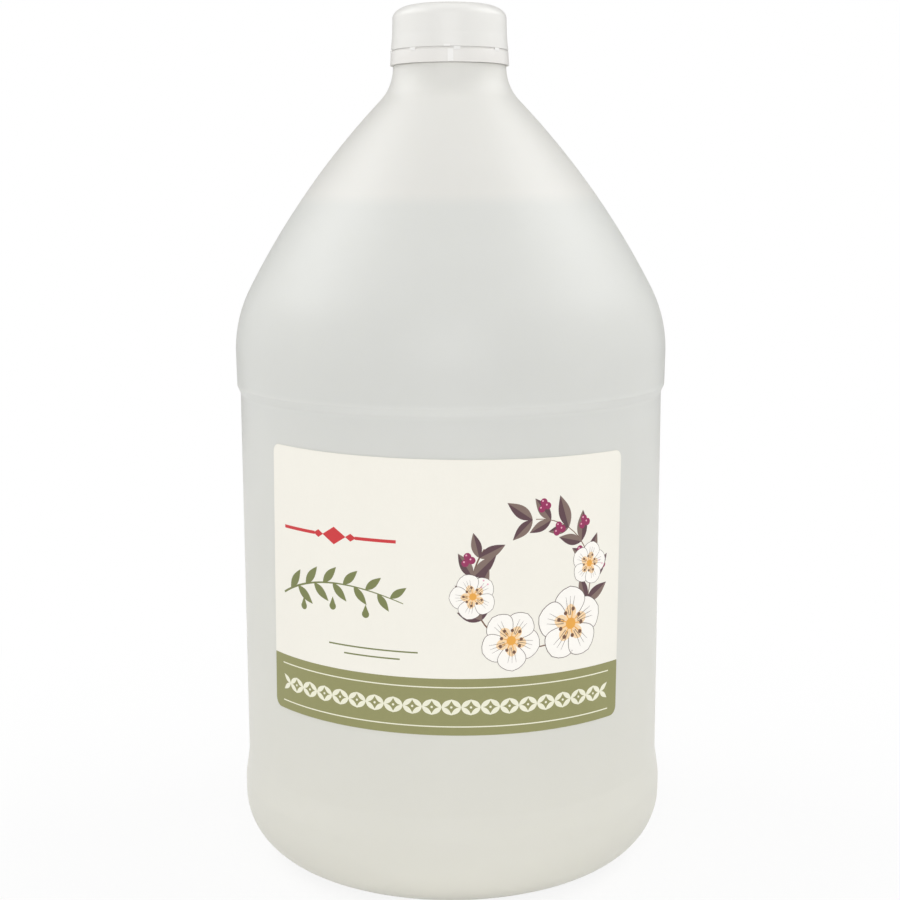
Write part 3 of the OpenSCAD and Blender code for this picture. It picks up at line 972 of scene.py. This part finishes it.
# cloudy tone and fine moulded grain of plastic
def makeMouldGrain():
    group, given, out = makeGroup(
        "mouldGrain",
        [("Place", "NodeSocketVector", None), ("Tone", "NodeSocketColor", (1, 1, 1, 1)),
         ("Cloud Depth", "NodeSocketFloat", 0.02), ("Fine Scale", "NodeSocketFloat", 1800),
         ("Wave Height", "NodeSocketFloat", 0.4)],
        [("Color", "NodeSocketColor"), ("Height", "NodeSocketFloat"),
         ("Roughness Shift", "NodeSocketFloat")],
    )
    cloud, fine, wave = (addNoise(group, given, name) for name in ("cloud", "fine", "wave"))
    wire(group, given, "Fine Scale", fine, "Scale")
    centred = addMath(group, "SUBTRACT", (cloud, "Fac"), noiseMiddle)
    varyTone(group, given, out, centred, "Cloud Depth")
    lifted = addMath(group, "MULTIPLY", (wave, "Fac"), (given, "Wave Height"))
    height = addMath(group, "MULTIPLY_ADD", (fine, "Fac"), grainShares["fine"], lifted)
    wire(group, *height, out, "Height")
    shift = addMath(group, "MULTIPLY", centred, grainShares["roughness"])
    wire(group, *shift, out, "Roughness Shift")
    return group


# fibres of the paper under an ink, and the ink's uneven density
def makePrintGrain():
    group, given, out = makeGroup(
        "printGrain",
        [("Place", "NodeSocketVector", None), ("Tone", "NodeSocketColor", (1, 1, 1, 1)),
         ("Fleck", "NodeSocketFloat", 0.04)],
        [("Color", "NodeSocketColor"), ("Height", "NodeSocketFloat")],
    )
    fibre, patch = (addNoise(group, given, name) for name in ("fibre", "patch"))
    both = addMath(group, "ADD", (fibre, "Fac"), (patch, "Fac"))
    centred = addMath(group, "SUBTRACT", both, 2 * noiseMiddle)
    varyTone(group, given, out, centred, "Fleck")
    wire(group, fibre, "Fac", out, "Height")
    return group


mouldGrain = makeMouldGrain()
printGrain = makePrintGrain()


def bareMaterial(name):
    material = bpy.data.materials.new(name)
    material.use_nodes = True
    material.node_tree.nodes.clear()
    return material, material.node_tree


def putOut(tree, shader, output):
    wire(tree, shader, output, tree.nodes.new("ShaderNodeOutputMaterial"), "Surface")


# a Principled shader whose colour comes from a grain; sockets holds its plain values
def startMaterial(name, grainGroup, sockets, **values):
    material, tree = bareMaterial(name)
    shader = tree.nodes.new("ShaderNodeBsdfPrincipled")
    putOut(tree, shader, "BSDF")
    for socket, value in sockets.items():
        shader.inputs[socket].default_value = value
    coords = tree.nodes.new("ShaderNodeTexCoord")
    grain = addNode(tree, "ShaderNodeGroup", node_tree=grainGroup, **values)
    wire(tree, coords, "Object", grain, "Place")
    wire(tree, grain, "Color", shader, "Base Color")
    return material, tree, shader, coords, grain


# bump is a strength, and a distance in metres
def addBump(tree, source, output, shader, bump):
    made = addNode(tree, "ShaderNodeBump", Strength=bump[0], Distance=bump[1])
    wire(tree, source, output, made, "Height")
    wire(tree, made, "Normal", shader, "Normal")


def startMoulded(name, look, **values):
    depths = {"Cloud_Depth": look["cloud"], "Fine_Scale": look["fine"], "Wave_Height": look["wave"]}
    parts = startMaterial(name, mouldGrain, look["sockets"], **depths, **values)
    material, tree, shader, coords, grain = parts
    rough = addMath(tree, "ADD", (grain, "Roughness Shift"), look["roughness"])
    wire(tree, *rough, shader, "Roughness")
    return parts


# natural polyethylene: the tone follows what stands behind the wall, oil below the fill line and
# air above, and the wall is whiter where it is thick, at the neck; the foot and the step are
# painted lighter, a painted light as if bounced up from the floor, and the foot is also tinted
# yellower
plastic = {
    # the foot's and the step's tones hold painted light from below
    "overOil": (218, 219, 213), "nearFill": (220, 221, 215), "footTintAndPaintedLight": (228, 226, 213),
    "stepPaintedLight": (224, 225, 219), "overAir": (227, 226, 219), "atMouth": (229, 228, 225),
    "stepBlend": 1.2, "stepIn": 0.7, "fillBlend": 2.0,
    "cloud": 0.05, "fine": 1500, "wave": 1.0, "roughness": 0.42, "bump": (0.25, 0.0006),
    "sockets": {
        "IOR": 1.5, "Specular IOR Level": 0.4, "Subsurface Weight": 0.25,
        "Subsurface Radius": (1, 1, 0.85), "Subsurface Scale": 0.006,
    },
}


def makePlastic():
    material, tree, shader, coords, grain = startMoulded("naturalPolyethylene", plastic)
    axes = addNode(tree, "ShaderNodeSeparateXYZ")
    wire(tree, coords, "Object", axes, "Vector")
    height = addMath(tree, "DIVIDE", (axes, "Z"), neck["mouth"] * mm)
    ramp = addNode(tree, "ShaderNodeValToRGB")
    stops = ramp.color_ramp.elements
    for k, (z, tone) in enumerate((
        # painted light: the foot is lighter and yellower, as if lit from the floor
        (0, "footTintAndPaintedLight"),
        (jug["panelHigh"] - plastic["stepBlend"], "overOil"),
        # painted highlight: the step's face is lighter, as if lit from the floor
        (jug["panelHigh"] + plastic["stepIn"], "stepPaintedLight"),
        (jug["stepTop"] - plastic["stepIn"], "stepPaintedLight"),
        (jug["stepTop"] + plastic["stepBlend"], "overOil"),
        (oilFill["top"] - plastic["fillBlend"], "nearFill"),
        (oilFill["top"] + plastic["fillBlend"], "overAir"),
        (neckLow, "overAir"),
        (neck["mouth"], "atMouth"),
    )):
        stop = stops[k] if k < 2 else stops.new(1)  # a new ramp has two stops
        stop.position = z / neck["mouth"]
        stop.color = colour(*plastic[tone])
    wire(tree, *height, ramp, "Fac")
    wire(tree, ramp, "Color", grain, "Tone")
    addBump(tree, grain, "Height", shader, plastic["bump"])
    return material


# the lightest white is a painted highlight, put on the nub, the band's bridges and its rib
capPlastic = {
    "cap": (229, 228, 224), "band": (229, 227, 223), "paintedHighlight": (240, 239, 236),
    "cloud": 0.03, "fine": 2400, "wave": 0.15, "roughness": 0.38, "bump": (0.2, 0.0004),
    "sockets": {
        "IOR": 1.5, "Subsurface Weight": 0.1,
        "Subsurface Radius": (1, 1, 0.9), "Subsurface Scale": 0.002,
    },
}


def makeCapPlastic(use):
    tone = colour(*capPlastic[use])
    material, tree, shader, coords, grain = startMoulded(use + "White", capPlastic, Tone=tone)
    addBump(tree, grain, "Height", shader, capPlastic["bump"])
    return material


paleOil = {
    "tone": (236, 229, 188), "cloud": 0.05, "fine": 300, "wave": 0.3, "roughness": 0.06,
    "sockets": {"IOR": 1.47, "Transmission Weight": 0.6},
}


def makeOilMaterial():
    return startMoulded("paleOil", paleOil, Tone=colour(*paleOil["tone"]))[0]


linerFoam = {
    "tone": (243, 242, 237), "cloud": 0.05, "fine": 1200, "wave": 0.1, "roughness": 0.75,
    "cells": 1600, "bump": (0.4, 0.0002), "sockets": {},
}


def makeFoam():
    tone = colour(*linerFoam["tone"])
    material, tree, shader, coords, grain = startMoulded("linerFoam", linerFoam, Tone=tone)
    cells = addNode(tree, "ShaderNodeTexVoronoi", Scale=linerFoam["cells"])
    wire(tree, coords, "Object", cells, "Vector")
    addBump(tree, cells, "Distance", shader, linerFoam["bump"])
    return material


# inks of the print; the pale ones show fewer flecks
inkTones = {
    "paper": (242, 239, 229), "olive": (146, 145, 98), "sage": (122, 128, 80),
    "cream": (238, 236, 214), "red": (204, 58, 62), "line": (96, 82, 80),
    "petal": (251, 248, 242), "blush": (247, 214, 170), "gold": (233, 168, 74),
    "brown": (116, 84, 66), "plum": (92, 66, 72), "taupe": (128, 108, 100),
    "berry": (150, 48, 92), "pink": (232, 170, 190),
}
ink = {
    "pale": ("paper", "petal"), "paleFleck": 0.025, "fleck": 0.07, "bump": (0.12, 0.00008),
    "sockets": {"Roughness": 0.5, "Specular IOR Level": 0.35},
}


def makeInk(name, tone):
    fleck = ink["paleFleck"] if name in ink["pale"] else ink["fleck"]
    values = {"Tone": colour(*tone), "Fleck": fleck}
    parts = startMaterial(name + "Print", printGrain, ink["sockets"], **values)
    material, tree, shader, coords, grain = parts
    addBump(tree, grain, "Height", shader, ink["bump"])
    return material


jugShell, oil = makeJug()
makeNeck(jugShell)
makeOil(oil)
# lighter white for a painted highlight on the nub, the bridges and the rib
paintedHighlightPlastic = makeCapPlastic("paintedHighlight")
screwCap = makeCap(makeCapPlastic("cap"), paintedHighlightPlastic)
tamperBand = makeBand(makeCapPlastic("band"), paintedHighlightPlastic)
inks = {name: makeInk(name, tone) for name, tone in inkTones.items()}
frontLabel = makeLabel(inks)
dress(jugShell, makePlastic())
dress(oil, makeOilMaterial())
dress(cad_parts["cap_liner"], makeFoam())

for piece, body, node, slot in (
    (jugShell, "bottle", "jug_body", "natural_polyethylene"),
    (oil, "bottle", "oil_fill", "oil"),
    (frontLabel, "bottle", "front_label", "label_paper"),
    (screwCap, "cap", "cap_shell", "cap_white"),
    (tamperBand, "band", "tamper_band", "cap_white"),
):
    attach(piece, body)
    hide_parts(node)
    print("made", piece.name, len(piece.data.polygons))

# studio, in metres
studio = {
    "world": 0.53, "floor": 8, "floorTone": (0.9, 0.9, 0.9, 1), "floorGlow": 0.86,
    "glowFrom": 0.09, "glowTo": 0.34, "white": (1, 1, 1, 1),
    "front": (0, -1.5, 0.55), "frontAim": (0, 0, 0.17), "frontSize": (0.9, 1.1), "frontPower": 7.4,
    "flank": (0.75, 0.1, 0.91), "flankAim": (0, 0, 0.22), "flankSize": (0.7, 0.7),
    "flankPower": (4.35, 4.5),
    "card": (0, 0.8, 0.6), "cardScale": (1.5, 1.4, 1), "cardGlow": 0.12,
}


# white for what the camera and the reflections see, plain light for the rest
def seenMask(tree):
    path = tree.nodes.new("ShaderNodeLightPath")
    first = addMath(tree, "MAXIMUM", (path, "Is Camera Ray"), (path, "Is Glossy Ray"))
    return addMath(tree, "MAXIMUM", first, (path, "Is Transmission Ray"))


def makeWorld():
    world = bpy.data.worlds.new("studio")
    bpy.context.scene.world = world
    world.use_nodes = True
    tree = world.node_tree
    back = tree.nodes["Background"]
    back.inputs["Color"].default_value = studio["white"]
    level = addNode(tree, "ShaderNodeMapRange", To_Min=studio["world"], To_Max=1)
    wire(tree, *seenMask(tree), level, "Value")
    wire(tree, level, "Result", back, "Strength")


# the floor glows white away from the jug and keeps its shadow near it
def makeFloor():
    floor = addPlane("floor", studio["floor"])
    material, tree = bareMaterial("paleFloor")
    matt = addNode(tree, "ShaderNodeBsdfDiffuse", Color=studio["floorTone"])
    glow = addNode(tree, "ShaderNodeEmission", Color=studio["white"], Strength=1)
    mixed = tree.nodes.new("ShaderNodeMixShader")
    coords = tree.nodes.new("ShaderNodeTexCoord")
    reach = addNode(tree, "ShaderNodeVectorMath", operation="LENGTH")
    wire(tree, coords, "Object", reach, 0)
    run = {"From_Min": studio["glowFrom"], "From_Max": studio["glowTo"]}
    run.update({"To_Min": studio["floorGlow"], "To_Max": 1})
    far = addNode(tree, "ShaderNodeMapRange", interpolation_type="SMOOTHSTEP", **run)
    wire(tree, reach, "Value", far, "Value")
    share = addMath(tree, "MULTIPLY", seenMask(tree), (far, "Result"))
    wire(tree, *share, mixed, "Fac")
    wire(tree, matt, "BSDF", mixed, 1)
    wire(tree, glow, "Emission", mixed, 2)
    putOut(tree, mixed, "Shader")
    dress(floor, material)


def addSoftbox(name, place, aim, size, power):
    pickNone()
    bpy.ops.object.light_add(type="AREA", location=place)
    lamp = bpy.context.object
    lamp.name = name
    lamp.data.shape = "RECTANGLE"
    lamp.data.size, lamp.data.size_y = size
    lamp.data.energy = power
    lamp.rotation_euler = (Vector(aim) - Vector(place)).to_track_quat("-Z", "Y").to_euler()


# dark card behind, only for reflections, so that the jug's edges read against the white
def makeCard():
    card = addPlane("darkCard", 1, studio["card"], rotation=(math.radians(90), 0, 0))
    card.scale = studio["cardScale"]
    material, tree = bareMaterial("darkCard")
    dark = addNode(tree, "ShaderNodeEmission", Color=studio["white"], Strength=studio["cardGlow"])
    putOut(tree, dark, "Emission")
    dress(card, material)
    card.visible_camera = False
    card.visible_diffuse = False
    card.visible_transmission = False
    card.visible_shadow = False


makeWorld()
makeFloor()
front = (studio["front"], studio["frontAim"], studio["frontSize"])
addSoftbox("frontBox", *front, studio["frontPower"])
x, y, z = studio["flank"]
for side, power in zip((-1, 1), studio["flankPower"]):
    flank = ((side * x, y, z), studio["flankAim"], studio["flankSize"])
    addSoftbox("flankBox", *flank, power)
makeCard()
print("studio lit")

# camera, fitted to the photo's frame; pitch in degrees, roll in radians
view = {
    "place": (-0.00038, -0.57944, 0.2434), "lens": 63.86, "sensor": 36, "near": 0.01,
    "pitch": 80.6, "roll": -0.0038,
}
pickNone()
bpy.ops.object.camera_add(location=view["place"])
camera = bpy.context.object
camera.data.sensor_width = view["sensor"]
camera.data.lens = view["lens"]
camera.data.clip_start = view["near"]
camera.rotation_mode = "XYZ"
camera.rotation_euler = (math.radians(view["pitch"]), 0, 0)
camera.rotation_euler.rotate_axis("Z", view["roll"])
bpy.context.scene.camera = camera
bpy.context.scene.view_settings.view_transform = "Standard"
print("camera set")
